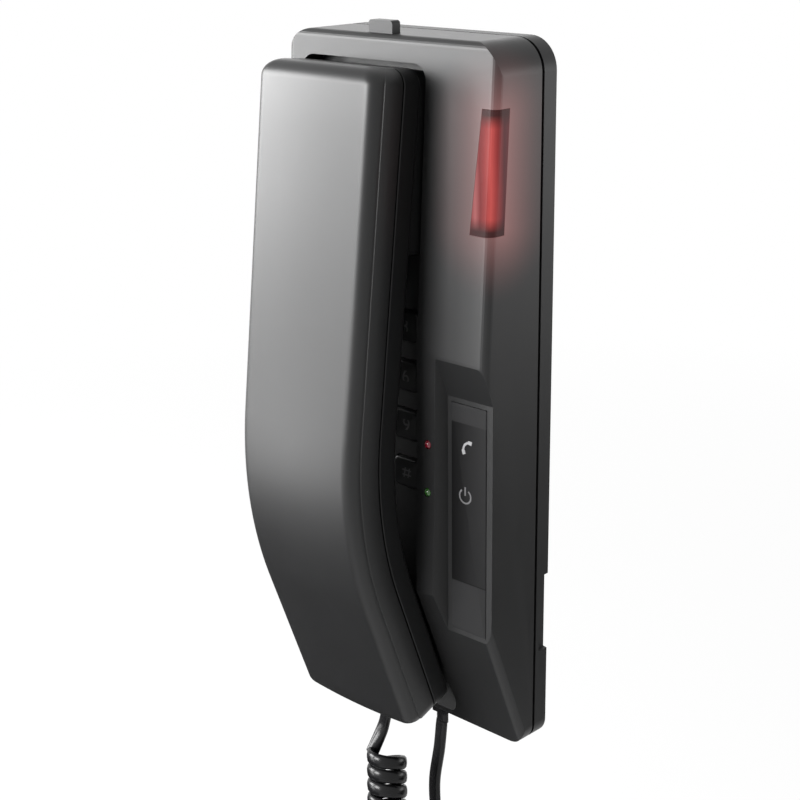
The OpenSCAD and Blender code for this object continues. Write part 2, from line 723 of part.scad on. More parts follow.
module handset_rear() color("#333436") at_bend() difference() {
    union() {
        handset_form(back_r, seam_r - seam_groove / 2, 0, 0);
        handset_form(back_r + 1, seam_r + 1.5, shell_t + snug, 0);
        ear_block(back_r - ear_block_h, back_r + 1, 0);
        lower() radial(mouth_cap_at, 0, mouth_cap_r, back_r - mouth_cap_h, back_r + 1);
    }
    handset_form(back_r + shell_t, seam_r + 3, shell_t + snug + 1, 0);
    ear_block(back_r - ear_block_h + cap_wall, back_r + 3, cap_wall);
    lower() radial(mouth_cap_at, 0, mouth_cap_r - cap_wall, back_r - mouth_cap_h + cap_wall, back_r + 3);
    upper() for (ring = [0:2], k = [0:max(0, 6 * ring - 1)]) let (a = 60 * k / max(ring, 1))
        radial(ear_at + hole_step * ring * sin(a), hole_step * ring * cos(a), hole_r, 0, back_r + 1);
    lower() for (k = [-1:1]) radial(mouth_cap_at, mouth_hole_step * k, hole_r, 0, back_r + 1);
    handset_screw_places() {
        radial(0, 0, handset_screw_r + 0.15, 0, back_r + 5);
        radial(0, 0, handset_head_r + 2 * snug, 0, back_r + handset_head_h);
    }
    socket_hole(snug);
}

module earpiece() color("#8a8c8f") at_bend() upper() {
    foot = back_r - ear_block_h + cap_wall;
    radial(ear_at, 0, earpiece_r, foot, foot + earpiece_h);
    radial(ear_at, 0, magnet_r, foot, foot + magnet_h);
}

module microphone() color("#a9abad") at_bend() lower() {
    foot = back_r - mouth_cap_h + cap_wall;
    radial(mouth_cap_at, 0, microphone_r, foot, foot + microphone_h);
}

module handset_weight() color("#7f8286") at_bend() upper()
    translate([back_r + shell_t + run_fit, weight_at, -weight_size[2] / 2]) cube(weight_size);

module handset_screws() color("#b9bcc0") at_bend() handset_screw_places() difference() {
    union() {
        radial(0, 0, handset_screw_r, back_r, back_r + handset_screw_len);
        radial(0, 0, handset_head_r, back_r - 0.1, back_r + handset_head_h);
    }
    for (turn = [0, 90]) rotate([turn, 0, 0]) translate([back_r - 1, -slot_len / 2, -slot_w / 2])
        cube([1.5, slot_len, slot_w]);
}

// place a thing that is drawn upright, mouth down, at the handset's end face
module at_handset_end()
    at_bend() lower() translate([socket_r, lower_len, 0]) rotate([90, 0, 0]) rotate([0, 0, 90]) children();

module handset_socket() color("#18191a") at_handset_end() socket([0, 0, 0]);
module handset_plug() color("#d9d9d6") at_handset_end() plug();

// ------------------------------------------------------------------- cord

function unit(v) = v / norm(v);
function spline(a, b, c, d, t) = ((2 * b) + (c - a) * t + (2 * a - 5 * b + 4 * c - d) * t * t
    + (3 * b - a - 3 * c + d) * t * t * t) / 2;
// a smooth line through the route's points
function smooth(p) = let (e = concat([2 * p[0] - p[1]], p, [2 * p[len(p) - 1] - p[len(p) - 2]]))
    concat([for (i = [1:len(e) - 3], k = [0:route_steps - 1])
        spline(e[i - 1], e[i], e[i + 1], e[i + 2], k / route_steps)], [p[len(p) - 1]]);
function step(p, i) = i + 1 < len(p) ? norm(p[i + 1] - p[i]) : 0;
function lengths(p) = [for (i = 0, s = 0; i < len(p); s = s + step(p, i), i = i + 1) s];
function along(s, table) = [for (k = [0:2]) lookup(s, table[k])];
function tables(p, s) = [for (k = [0:2]) [for (i = [0:len(p) - 1]) [s[i], p[i][k]]]];
function heading(s, table, last) = unit(along(min(s + 0.5, last), table) - along(max(s - 0.5, 0), table));

// ring of n points round p, across the heading t, as wide as w along the side w_dir
function ring(p, t, w_dir, w, h, n) = let (u = unit(w_dir - (w_dir * t) * t), v = cross(t, u))
    [for (k = [0:n - 1]) p + w / 2 * cos(360 * k / n) * u + h / 2 * sin(360 * k / n) * v];

module tube(rings) {
    n = len(rings[0]);
    last = len(rings) - 1;
    polyhedron(points = [for (r = rings, p = r) p], faces = concat(
        [for (i = [0:last - 1], k = [0:n - 1]) let (a = i * n, b = (k + 1) % n) [a + n + k, a + n + b, a + b]],
        [for (i = [0:last - 1], k = [0:n - 1]) let (a = i * n, b = (k + 1) % n) [a + n + k, a + b, a + k]],
        [for (k = [1:n - 2]) [0, k, k + 1]],
        [for (k = [1:n - 2]) [last * n, last * n + k + 1, last * n + k]]), convexity = 10);
}

// coil: the curls open where its middle line bends, so that they stay apart
coil_line = smooth(coil_route);
coil_s = lengths(coil_line);
coil_table = tables(coil_line, coil_s);
coil_len = coil_s[len(coil_s) - 1];
function bend_at(i) = i < 2 || i > len(coil_line) - 3 ? 0
    : norm(unit(coil_line[i + 2] - coil_line[i]) - unit(coil_line[i] - coil_line[i - 2]))
        / ((coil_s[i + 2] - coil_s[i - 2]) / 2);
function curls_in(i) = step(coil_line, i) * (1 - bend_at(i) * coil_d / 2) / coil_pitch;
curls_at = [for (i = 0, f = 0; i < len(coil_line); f = f + curls_in(i), i = i + 1) [f, coil_s[i]]];
curls = floor(curls_at[len(curls_at) - 1][0] * curl_rings) / curl_rings;
function curl_side(t) = unit(loop_normal - (loop_normal * t) * t);
function curl_point(f) = let (s = lookup(f, curls_at), t = heading(s, coil_table, coil_len), b = curl_side(t),
    a = coil_start + coil_sense * 360 * f) along(s, coil_table) + coil_r * (cos(a) * cross(b, t) + sin(a) * b);
curl_points = [for (n = [0:curls * curl_rings]) curl_point(n / curl_rings)];
function curl_heading(n) = unit(curl_point(n / curl_rings + 0.02) - curl_point(n / curl_rings - 0.02));
coil_in = unit(curl_point(0.02) - curl_point(0));
coil_out = unit(curl_point(curls) - curl_point(curls - 0.02));
coil_first = curl_points[0] - cord_w * coil_in;
coil_last = curl_points[len(curl_points) - 1] + cord_w * coil_out;
function coil_axis(n) = heading(lookup(n / curl_rings, curls_at), coil_table, coil_len);
last_curl = len(curl_points) - 1;
coil_rings = concat([ring(coil_first, coil_in, coil_axis(0), cord_w, cord_t, 6)],
    [for (n = [0:last_curl]) ring(curl_points[n],
        n == 0 ? coil_in : n == last_curl ? coil_out : curl_heading(n), coil_axis(n), cord_w, cord_t, 6)],
    [ring(coil_last, coil_out, coil_axis(last_curl), cord_w, cord_t, 6)]);
coil_gap = min([for (i = [1:last_curl + 1 - curl_rings], j = [curl_rings - 1:curl_rings + 1],
    p = coil_rings[i], q = coil_rings[min(i + j, last_curl + 2)]) norm(p - q)]);

module cord_coil() color("#1b1b1d") {
    echo(least_gap_of_coil = coil_gap, curls = curls, wire = curls * norm([2 * PI * coil_r, coil_pitch]),
        first = coil_first, last = coil_last, coil_in = coil_in, coil_out = coil_out);
    tube(coil_rings);
}

// a lead runs through its route's points, and its broad side turns from side_a to side_b
module lead(start, start_dir, route, finish, finish_dir, side_a, side_b) {
    line = smooth(concat([start, start + cord_w * start_dir], route,
        [finish - cord_w * finish_dir, finish]));
    s = lengths(line);
    table = tables(line, s);
    last = s[len(s) - 1];
    echo(lead_length = last);
    tube([for (n = [0:lead_rings]) let (at = last * n / lead_rings,
        t = n == 0 ? start_dir : n == lead_rings ? finish_dir : heading(at, table, last))
        ring(along(at, table), t, side_a * (1 - n / lead_rings) + side_b * n / lead_rings, cord_w, cord_t,
            8)]);
}

neck = plug_out + plug_neck;
handset_exit = [cradle_x, -(socket_r * cos(lower_lean) - (lower_len + neck) * sin(lower_lean) - bend_y),
    bend_z - socket_r * sin(lower_lean) - (lower_len + neck) * cos(lower_lean) - base_h / 2];
handset_down = [0, sin(lower_lean), -cos(lower_lean)];
base_exit = [base_socket_x, -wall - socket_t / 2, -base_h / 2 - neck];

module handset_lead() color("#1b1b1d")
    lead(handset_exit, handset_down, handset_lead_route, coil_first, coil_in, [1, 0, 0], coil_axis(0));
module base_lead() color("#1b1b1d")
    lead(base_exit, [0, 0, -1], base_lead_route, coil_last, -coil_out, [1, 0, 0], [0, 0, 1]);

module hook_spring() color("#b9bcc0") on_wall() {
    rise = hook_back - switch_depth - spring_wire;
    last = spring_turns * curl_rings;
    points = [for (n = [0:last]) let (a = 360 * n / curl_rings) [cradle_x + spring_r * cos(a),
        -switch_depth - spring_wire / 2 - rise * n / last, hook_z + spring_r * sin(a)]];
    tube([for (n = [0:last]) ring(points[n], unit(points[min(n + 1, last)] - points[max(n - 1, 0)]),
        [0, 1, 0], spring_wire, spring_wire, 6)]);
}

front_housing();
rear_cover();
release_tab();
message_lamp_lens();
lamp_board();
lamp_leds();
status_light_red();
status_light_green();
label_panel();
main_board();
board_screws();
keypad_mat();
ringer();
hook_switch();
hook_spring();
hook_plunger();
base_socket();
key_1();
key_2();
key_3();
key_4();
key_5();
key_6();
key_7();
key_8();
key_9();
key_star();
key_0();
key_hash();
handset_front();
handset_rear();
earpiece();
microphone();
handset_weight();
handset_screws();
handset_socket();
handset_plug();
base_plug();
handset_lead();
cord_coil();
base_lead();
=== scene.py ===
import math

import bmesh
import bpy
import numpy as np
from mathutils import Matrix, Vector


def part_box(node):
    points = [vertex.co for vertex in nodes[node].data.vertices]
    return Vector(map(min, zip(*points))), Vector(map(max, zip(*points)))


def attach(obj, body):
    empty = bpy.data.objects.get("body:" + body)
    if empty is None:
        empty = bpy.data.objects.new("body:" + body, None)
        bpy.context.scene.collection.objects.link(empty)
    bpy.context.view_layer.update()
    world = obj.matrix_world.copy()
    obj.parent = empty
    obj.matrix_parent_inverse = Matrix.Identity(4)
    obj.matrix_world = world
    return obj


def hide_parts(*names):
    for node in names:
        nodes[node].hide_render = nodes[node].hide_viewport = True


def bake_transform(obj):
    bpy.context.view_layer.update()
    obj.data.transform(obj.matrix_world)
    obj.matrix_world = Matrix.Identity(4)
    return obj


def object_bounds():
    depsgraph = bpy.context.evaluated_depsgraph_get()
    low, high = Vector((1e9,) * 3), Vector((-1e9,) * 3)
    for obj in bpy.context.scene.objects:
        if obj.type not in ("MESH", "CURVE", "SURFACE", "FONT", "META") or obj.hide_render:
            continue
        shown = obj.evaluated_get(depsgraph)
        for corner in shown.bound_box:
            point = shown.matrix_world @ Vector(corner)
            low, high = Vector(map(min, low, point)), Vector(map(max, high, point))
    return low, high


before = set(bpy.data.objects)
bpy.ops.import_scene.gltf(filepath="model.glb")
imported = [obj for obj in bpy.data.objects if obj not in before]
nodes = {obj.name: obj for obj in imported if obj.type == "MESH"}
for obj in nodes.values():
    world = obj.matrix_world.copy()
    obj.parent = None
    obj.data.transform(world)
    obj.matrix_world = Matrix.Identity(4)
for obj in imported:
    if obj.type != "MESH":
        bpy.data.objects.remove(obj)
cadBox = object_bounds()
print("frame loaded,", len(nodes), "nodes")

mm = 0.001
weldDistance = 2e-6
cutterStart = 1  # mm that a cutter stands out of what it cuts
tip = 0.01  # radius that closes a turned shape at its middle

cameraSettings = {
    "place": (0.31818, -0.34952, 0.14864),
    "turn": 44.062,  # degrees, to the left from facing the wall
    "pitch": 18.071,  # degrees down
    "roll": -0.684,
    "lens": 73.63,
    "sensor": 36,
    "nearest": 0.01,
}


def addCamera(s):
    turn, pitch = math.radians(s["turn"]), math.radians(s["pitch"])
    right = Vector((math.cos(turn), math.sin(turn), 0))
    back = Vector((math.sin(turn) * math.cos(pitch), -math.cos(turn) * math.cos(pitch), math.sin(pitch)))
    up = back.cross(right)
    spin = Matrix.Rotation(math.radians(s["roll"]), 3, back)
    right, up = spin @ right, spin @ up
    data = bpy.data.cameras.new("camera")
    data.lens, data.sensor_width, data.clip_start = s["lens"], s["sensor"], s["nearest"]
    camera = bpy.data.objects.new("camera", data)
    camera.matrix_world = Matrix.Translation(s["place"]) @ Matrix((right, up, back)).transposed().to_4x4()
    bpy.context.scene.collection.objects.link(camera)
    bpy.context.scene.camera = camera


addCamera(cameraSettings)


def newPiece(name, points, faces, sharp=40):  # edges over this many degrees stay crisp
    mesh = bpy.data.meshes.new(name)
    mesh.from_pydata([tuple(p) for p in points], [], faces)
    piece = bpy.data.objects.new(name, mesh)
    bpy.context.scene.collection.objects.link(piece)
    tidyMesh(piece, sharp)
    return piece


def tidyMesh(piece, sharp):
    bm = bmesh.new()
    bm.from_mesh(piece.data)
    bmesh.ops.remove_doubles(bm, verts=bm.verts, dist=weldDistance)
    bmesh.ops.recalc_face_normals(bm, faces=bm.faces)
    bm.to_mesh(piece.data)
    bm.free()
    piece.data.shade_smooth()
    piece.data.set_sharp_from_angle(angle=math.radians(sharp))


def loft(name, rings, sharp=40):
    count = len(rings[0])
    points = [p for ring in rings for p in ring]
    faces = []
    for a in range(0, len(points) - count, count):
        b = a + count
        for k in range(count):
            n = (k + 1) % count
            faces.append((a + k, a + n, b + n, b + k))
    faces.append(tuple(reversed(range(count))))
    faces.append(tuple(range(len(points) - count, len(points))))
    return newPiece(name, points, faces, sharp)


def arcPoints(x, y, radius, start, end, steps):
    angles = [math.radians(start + (end - start) * k / steps) for k in range(steps + 1)]
    return [(x + radius * math.cos(a), y + radius * math.sin(a)) for a in angles]


def roundedOutline(width, height, corner, steps):
    w, h = width / 2 - corner, height / 2 - corner
    outline = []
    for k, (x, y) in enumerate([(w, h), (-w, h), (-w, -h), (w, -h)]):
        outline += arcPoints(x, y, corner, 90 * k, 90 * k + 90, steps)
    return outline


def joined(name, pieces):
    bm = bmesh.new()
    for piece in pieces:
        bm.from_mesh(piece.data)
        if piece is not pieces[0]:
            bpy.data.objects.remove(piece)
    bm.to_mesh(pieces[0].data)
    bm.free()
    pieces[0].name = name
    return pieces[0]


def carve(piece, cutters, sharp):
    cutter = joined(piece.name + "_cutter", cutters)
    cut = piece.modifiers.new("cut", "BOOLEAN")
    cut.operation, cut.solver, cut.object = "DIFFERENCE", "EXACT", cutter
    result = bpy.data.meshes.new_from_object(piece.evaluated_get(bpy.context.evaluated_depsgraph_get()))
    piece.modifiers.clear()
    piece.data = result
    bpy.data.objects.remove(cutter)
    piece.data.shade_smooth()
    piece.data.set_sharp_from_angle(angle=math.radians(sharp))
    return piece


cordSettings = {
    "width": 4.25,
    "thickness": 2.4,
    "coilDiameter": 12.9,
    "pitch": 4.5,
    "firstCurl": -105,  # degrees round the coil where the first curl begins
    "winds": -1,  # -1 winds the coil left-handed
    "leadIn": 0.24,  # part of a curl that the handset's lead adds
    "curlRings": 26,
    "leadRings": 60,
    "sides": 14,
    "flatness": 2.6,  # 2 would make the section an ellipse, more makes it a flat ribbon
    "handsetRun": (0.3, 1.6),  # gap that the lead leaves to the coil's first ring, and its straight end
    "baseRun": (2.6, 2.0),
    "routeSteps": 16,
    "loopNormal": (-0.2, 0.98, 0),
    "coilRoute": [(-6.5, -22, -122), (-2.6, -26, -139.5), (-0.4, -28.2, -158), (-0.6, -28.6, -178),
                  (-2.2, -28, -198), (-4, -26.8, -218), (-4.4, -25, -236.5), (1.2, -22.4, -252),
                  (14.6, -19, -258.5), (27.6, -15.8, -252.5), (32.8, -13.6, -238), (31.6, -12, -220),
                  (28, -11, -202), (23.4, -10.2, -185), (19, -9.65, -171.3)],
    "handsetRoute": [(-9.9, -18.3, -108), (-11.2, -18.9, -114)],
    "baseRoute": [(2, -5.2, -112), (1.2, -5.6, -122), (-0.6, -6, -135), (0.4, -6.2, -147),
                  (4, -6.4, -156), (9, -6.6, -162)],
    "handsetExit": (-9.5, -18.369, -101.358),
    "handsetDown": (0, 0.3535, -0.9354),
    "baseExit": (2, -4.9, -108.7),
    "blendAcross": (0.7, 0.714, 0),  # direction that parts the handset's run from the base's
    "blendFrom": -17.8,
    "blendTo": -6.8,
}


def unit(v):
    return v / np.linalg.norm(v)


def smoothLine(route, steps):
    p = [np.array(q, float) for q in route]
    p = [2 * p[0] - p[1]] + p + [2 * p[-1] - p[-2]]
    line = []
    for a, b, c, d in zip(p, p[1:], p[2:], p[3:]):
        for k in range(steps):
            t = k / steps
            line.append((2 * b + (c - a) * t + (2 * a - 5 * b + 4 * c - d) * t * t
                         + (3 * b - a - 3 * c + d) * t ** 3) / 2)
    return np.array(line + [p[-2]])


def lengthsOf(line):
    return np.concatenate([[0], np.cumsum(np.linalg.norm(np.diff(line, axis=0), axis=1))])


def pointAt(line, s, at):
    return np.array([np.interp(at, s, line[:, k]) for k in range(3)])


def headingAt(line, s, at):
    reach = 0.5
    return unit(pointAt(line, s, min(at + reach, s[-1])) - pointAt(line, s, max(at - reach, 0)))


def coilPath(c):
    line = smoothLine(c["coilRoute"], c["routeSteps"])
    s = lengthsOf(line)
    bend = np.zeros(len(line))  # where the route bends, its curls stand further apart
    for i in range(2, len(line) - 2):
        turned = unit(line[i + 2] - line[i]) - unit(line[i] - line[i - 2])
        bend[i] = np.linalg.norm(turned) / ((s[i + 2] - s[i - 2]) / 2)
    steps = np.diff(s) * (1 - bend[:-1] * c["coilDiameter"] / 2) / c["pitch"]
    curlsAt = np.concatenate([[0], np.cumsum(steps)])
    curls = math.floor(curlsAt[-1] * 8) / 8  # whole eighths of a curl
    radius = (c["coilDiameter"] - c["thickness"]) / 2
    normal = np.array(c["loopNormal"])

    def curlPoint(f):
        at = float(np.interp(f, curlsAt, s))
        before = min(f, 0) * c["pitch"]  # the lead-in starts above the route's first point
        t = headingAt(line, s, at)
        side = unit(normal - (normal @ t) * t)
        a = math.radians(c["firstCurl"] + c["winds"] * 360 * f)
        middle = pointAt(line, s, at) + before * t
        return middle + radius * (math.cos(a) * np.cross(side, t) + math.sin(a) * side), t

    count = round((curls + c["leadIn"]) * c["curlRings"])
    turns = np.linspace(-c["leadIn"], curls, count + 1)
    made = [curlPoint(f) for f in turns]
    step = 0.02  # of a curl
    enter = unit(curlPoint(step - c["leadIn"])[0] - made[0][0])
    leave = unit(made[-1][0] - curlPoint(curls - step)[0])
    return [m[0] for m in made], [m[1] for m in made], enter, leave


def leadPath(start, startWay, route, finish, finishWay, run, c):
    start, finish = np.array(start), np.array(finish)
    points = [start, start + c["width"] * np.array(startWay)] + [np.array(q, float) for q in route]
    points += [finish - run * np.array(finishWay), finish]
    line = smoothLine(points, c["routeSteps"])
    s = lengthsOf(line)
    return [pointAt(line, s, at) for at in np.linspace(0, s[-1], c["leadRings"])]


def cordRings(path, broadSides, c):
    rings = []
    last = len(path) - 1
    for k, (p, broad) in enumerate(zip(path, broadSides)):
        t = unit(path[min(k + 1, last)] - path[max(k - 1, 0)])
        u = unit(broad - (broad @ t) * t)
        v = np.cross(t, u)
        ring = []
        for n in range(c["sides"]):
            a = 2 * math.pi * n / c["sides"]
            x, y = math.cos(a), math.sin(a)
            flat = (abs(x) ** c["flatness"] + abs(y) ** c["flatness"]) ** (-1 / c["flatness"])
            ring.append((p + c["width"] / 2 * x * flat * u + c["thickness"] / 2 * y * flat * v) * mm)
        rings.append(ring)
    return rings


def makeCord(c):
    coil, axes, enter, leave = coilPath(c)
    (handsetGap, handsetRun), (baseGap, baseRun) = c["handsetRun"], c["baseRun"]
    first, last = coil[0] - handsetGap * enter, coil[-1] + baseGap * leave
    upper = leadPath(c["handsetExit"], c["handsetDown"], c["handsetRoute"], first, enter, handsetRun, c)
    lower = leadPath(c["baseExit"], (0, 0, -1), c["baseRoute"], last, -leave, baseRun, c)[::-1]
    flatSide = np.array([1.0, 0, 0])  # the cord leaves both plugs broad side on

    def turning(count, a, b):
        return [a * (1 - k / (count - 1)) + b * k / (count - 1) for k in range(count)]

    path = upper[:-1] + coil + lower[1:]
    sides = turning(len(upper), flatSide, axes[0])[:-1] + axes
    sides += turning(len(lower), axes[-1], flatSide)[1:]
    cord = loft("curly_cord", cordRings(path, sides, c), sharp=60)
    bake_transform(cord)
    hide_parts("handset_lead", "cord_coil", "base_lead")
    [p * mm for p in path]
    return cord


curlyCord = makeCord(cordSettings)

handset = {
    "middle": -9.5,  # left of the base's middle
    "width": 47.5,
    "thickness": 18.8,
    "seam": 11.7,  # behind the front face
    "groove": 0.7,
    "grooveDeep": 1.1,
    "bendRadius": 120,
    "bendY": 64,  # centre of the bend, behind the wall's face
    "bendZ": -15.5,
    "upperLean": 6.6,  # degrees
    "lowerLean": 20.7,
    "upperLength": 101.139,
    "lowerLength": 47.5,
    "edge": 4.0,
    "backEdge": 1.4,
    "ledge": 0.4,  # small step behind the rounding of the front edges
    "ledgeRound": 0.12,
    "ledgeFlat": 0.25,
    "endRound": 5.0,  # front face, towards both ends
    "capSink": 0.6,  # ear block and mouth cap start this far inside the back
    "endSteps": 12,
    "bendSteps": 40,
    "crown": 0.7,
    "corner": 5,
    "earAt": 75.139,
    "earBlock": {"length": 50.5, "height": 7.5, "inset": 0.4, "foot": 2.0, "edge": 1.5},
    "earDish": {"radius": 15.5, "deep": 0.9, "flare": 0.6},
    "mouthAt": 25,
    "mouthRadius": 12,
    "mouthHeight": 3.9,
    "mouthEdge": 1.3,
    "mouthGroove": (2.6, 3.2, 0.35, 0.7),  # its start and end in from the rim, depth there and at the middle
    "holeStep": 3.6,
    "holeRadius": 0.8,
    "holeReach": (-1.2, 3),  # from behind the face that it's cut in to its floor
    "screwsAt": (10, 4),  # above and below the bend
    "screwRecess": (2.5, 1.1),  # radius and depth
    "socketRadius": 107.4,
    "socketSize": (9.8, 6.0, 13.2),
}
handset["backRadius"] = handset["bendRadius"] - handset["thickness"]


def onHandset(radius, across, lean, along):
    h = handset
    t = math.radians(lean)
    out = radius * math.cos(t) - along * math.sin(t)
    up = radius * math.sin(t) + along * math.cos(t)
    return np.array([h["middle"] - across, h["bendY"] - out, h["bendZ"] + up]) * mm


def drawnIn(radius, distance):  # how far a rounded corner has drawn in at a distance from the end
    return radius - math.sqrt(radius ** 2 - (radius - distance) ** 2) if distance < radius else 0.0


def handsetStations():
    h = handset
    endSteps, bendSteps = h["endSteps"], h["bendSteps"]
    ends = [h["corner"] * (1 - math.cos(math.pi / 2 * k / endSteps)) for k in range(endSteps + 1)]
    stations = [(h["upperLean"], h["upperLength"] - e, e) for e in ends]
    for k in range(1, 8):
        stations.append((h["upperLean"], (h["upperLength"] - h["corner"]) * (1 - k / 8), h["corner"]))
    turn = h["upperLean"] + h["lowerLean"]
    stations += [(h["upperLean"] - turn * k / bendSteps, 0.0, h["corner"]) for k in range(bendSteps + 1)]
    for k in range(1, 5):
        stations.append((-h["lowerLean"], -(h["lowerLength"] - h["corner"]) * k / 5, h["corner"]))
    stations += [(-h["lowerLean"], e - h["lowerLength"], e) for e in reversed(ends)]
    return stations


def frontSection(endDistance):
    h = handset
    half = h["width"] / 2 - drawnIn(h["corner"], endDistance)
    top = h["bendRadius"] - drawnIn(h["endRound"], endDistance)
    foot = h["bendRadius"] - h["seam"] + h["groove"] / 2
    inner = half - h["ledge"] - h["edge"]
    crown = [(inner * math.cos(math.pi * k / 20), top - h["crown"] * math.cos(math.pi * k / 20) ** 2)
             for k in range(1, 20)]
    edge = arcPoints(inner, top - h["crown"] - h["edge"], h["edge"], 0, 90, 10)
    ledgeAt = top - h["crown"] - h["edge"]
    soft = h["ledgeRound"]
    side = [(half, foot), (half, ledgeAt - h["ledgeFlat"]), (half - soft, ledgeAt),
            (half - h["ledge"], ledgeAt + soft)]
    right = side + edge[1:]
    left = [(-x, r) for x, r in reversed(right)]
    return right + crown + left


def rearSection(endDistance):
    h = handset
    half = h["width"] / 2 - drawnIn(h["corner"], endDistance)
    foot = h["backRadius"]
    rim = h["bendRadius"] - h["seam"] - h["groove"] / 2
    edge = arcPoints(half - h["backEdge"], foot + h["backEdge"], h["backEdge"], -90, 0, 6)
    lip = half - h["grooveDeep"]
    right = edge + [(half, rim - 0.2), (half - 0.2, rim), (lip, rim), (lip, rim + h["groove"] + 0.1)]
    left = [(-x, r) for x, r in reversed(right)]
    return right + left


def handsetLoft(name, section):
    rings = []
    for lean, along, fromEnd in handsetStations():
        rings.append([onHandset(r, x, lean, along) for x, r in section(fromEnd)])
    return loft(name, rings, sharp=28)


def radialTube(name, lean, along, across, profile, sides):
    rings = []
    for radius, out in profile:
        ring = []
        for k in range(sides):
            a = 2 * math.pi * k / sides
            ring.append(onHandset(out, across + radius * math.cos(a), lean, along + radius * math.sin(a)))
        rings.append(ring)
    return loft(name, rings, sharp=35)


def socketCutter(name):
    h = handset
    w, t, deep = h["socketSize"]
    rings = []
    for along in (-h["lowerLength"] - cutterStart, deep - h["lowerLength"]):
        corners = roundedOutline(w, t, 0.4, 3)
        rings.append([onHandset(h["socketRadius"] + y, x, -h["lowerLean"], along) for x, y in corners])
    return loft(name, rings)


def soundHoles(lean, along, out, places):
    size = handset["holeRadius"]
    profile = [(size, out + reach) for reach in handset["holeReach"]]
    return [radialTube("cutHole", lean, along + up, side, profile, 20) for side, up in places]


def makeEarBlock(h):
    s = h["earBlock"]
    crest = h["backRadius"] - s["height"]
    levels = [(0, h["backRadius"] + h["capSink"]), (0, crest + s["edge"])]
    levels += [(s["edge"] - x, crest + s["edge"] - y) for x, y in arcPoints(0, 0, s["edge"], 0, 90, 8)[1:]]
    rings = []
    for inset, out in levels:
        half = h["width"] / 2 - s["inset"] - inset
        head, foot = h["upperLength"] - s["inset"] - inset, h["upperLength"] - s["length"] + inset
        round_, low = h["corner"] - inset, max(s["foot"] - inset, 0.5)
        outline = arcPoints(half - round_, head - round_, round_, 0, 90, 8)
        outline += arcPoints(round_ - half, head - round_, round_, 90, 180, 8)
        outline += arcPoints(low - half, foot + low, low, 180, 270, 6)
        outline += arcPoints(half - low, foot + low, low, 270, 360, 6)
        rings.append([onHandset(out, x, h["upperLean"], up) for x, up in outline])
    block = loft("handset_ear_block", rings, sharp=32)
    dish = h["earDish"]
    bowl = [(dish["radius"] * math.sin(a), crest + dish["deep"] * (math.cos(a) ** 2))
            for a in (math.radians(6 * k) for k in range(15, 0, -1))]
    bowl = [(dish["radius"] + dish["flare"], crest - cutterStart)] + bowl + [(tip, crest + dish["deep"])]
    block = carve(block, [radialTube("cutDish", h["upperLean"], h["earAt"], 0, bowl, 72)], 32)
    places = [(0, 0)]
    for ring, count in ((1, 6), (2, 12)):
        for a in (2 * math.pi * k / count for k in range(count)):
            places.append((h["holeStep"] * ring * math.cos(a), h["holeStep"] * ring * math.sin(a)))
    return carve(block, soundHoles(h["upperLean"], h["earAt"], crest, places), 32)


def makeMouthCap(h):
    back = h["backRadius"]
    crest = back - h["mouthHeight"]
    radius, edge = h["mouthRadius"], h["mouthEdge"]
    grooveFrom, grooveTo, grooveDeep, middleDeep = h["mouthGroove"]
    profile = [(radius, back + h["capSink"]), (radius, crest + edge)]
    profile += [(radius - edge + x, crest + edge - y) for x, y in arcPoints(0, 0, edge, 0, 90, 8)[1:]]
    profile += [(radius - grooveFrom, crest), (radius - grooveTo, crest + grooveDeep)]
    profile.append((tip, crest + middleDeep))
    cap = radialTube("handset_mouth_cap", -h["lowerLean"], -h["mouthAt"], 0, profile, 80)
    return carve(cap, soundHoles(-h["lowerLean"], -h["mouthAt"], crest, [(-3, 0), (0, 0), (3, 0)]), 32)


def makeHandset():
    h = handset
    upper, lower = h["upperLean"], -h["lowerLean"]
    front = carve(handsetLoft("handset_face_shell", frontSection), [socketCutter("cutSocket")], 28)
    rear = handsetLoft("handset_back_shell", rearSection)
    back = h["backRadius"]
    cutters = [socketCutter("cutSocket")]
    screwRadius, screwDeep = h["screwRecess"]
    for lean, along in ((upper, h["screwsAt"][0]), (lower, -h["screwsAt"][1])):
        cutters.append(radialTube("cutScrew", lean, along, 0,
                                  [(screwRadius, back - cutterStart), (screwRadius, back + screwDeep)], 40))
    rear = carve(rear, cutters, 28)
    ear = makeEarBlock(h)
    mouth = makeMouthCap(h)
    for piece in (front, rear, ear, mouth):
        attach(piece, "handset")
    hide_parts("handset_front")
    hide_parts("handset_rear")
    print("handset shells made")
    return front, rear, ear, mouth


handsetPieces = makeHandset()

keySettings = {
    "names": ["1", "2", "3", "4", "5", "6", "7", "8", "9", "star", "0", "hash"],
    "marks": ["1", "2", "3", "4", "5", "6", "7", "8", "9", "*", "0", "#"],
    "width": 10,
    "height": 9,
    "corner": 1.6,
    "edge": 0.5,
    "dish": 0.25,
    "dishRim": 0.95,  # share of the cap's width
    "dishSteps": [(0.8, 0.3), (0.6, 0.6), (0.4, 0.82), (0.2, 0.95), (0.02, 1.0)],  # shares of width and depth
    "skirt": 4.2,
    "markSize": 6.21,
    "markSink": 0.9,  # share of the dish's depth
    "markThick": 0.03,
}


def facePlate(name, x, z, depth, outline, levels, sharp=40):
    rings = []
    for shrink, out in levels:
        y = -(depth + out) * mm
        rings.append([((x + px * shrink) * mm, y, (z + pz * shrink) * mm) for px, pz in outline])
    return loft(name, rings, sharp=sharp)


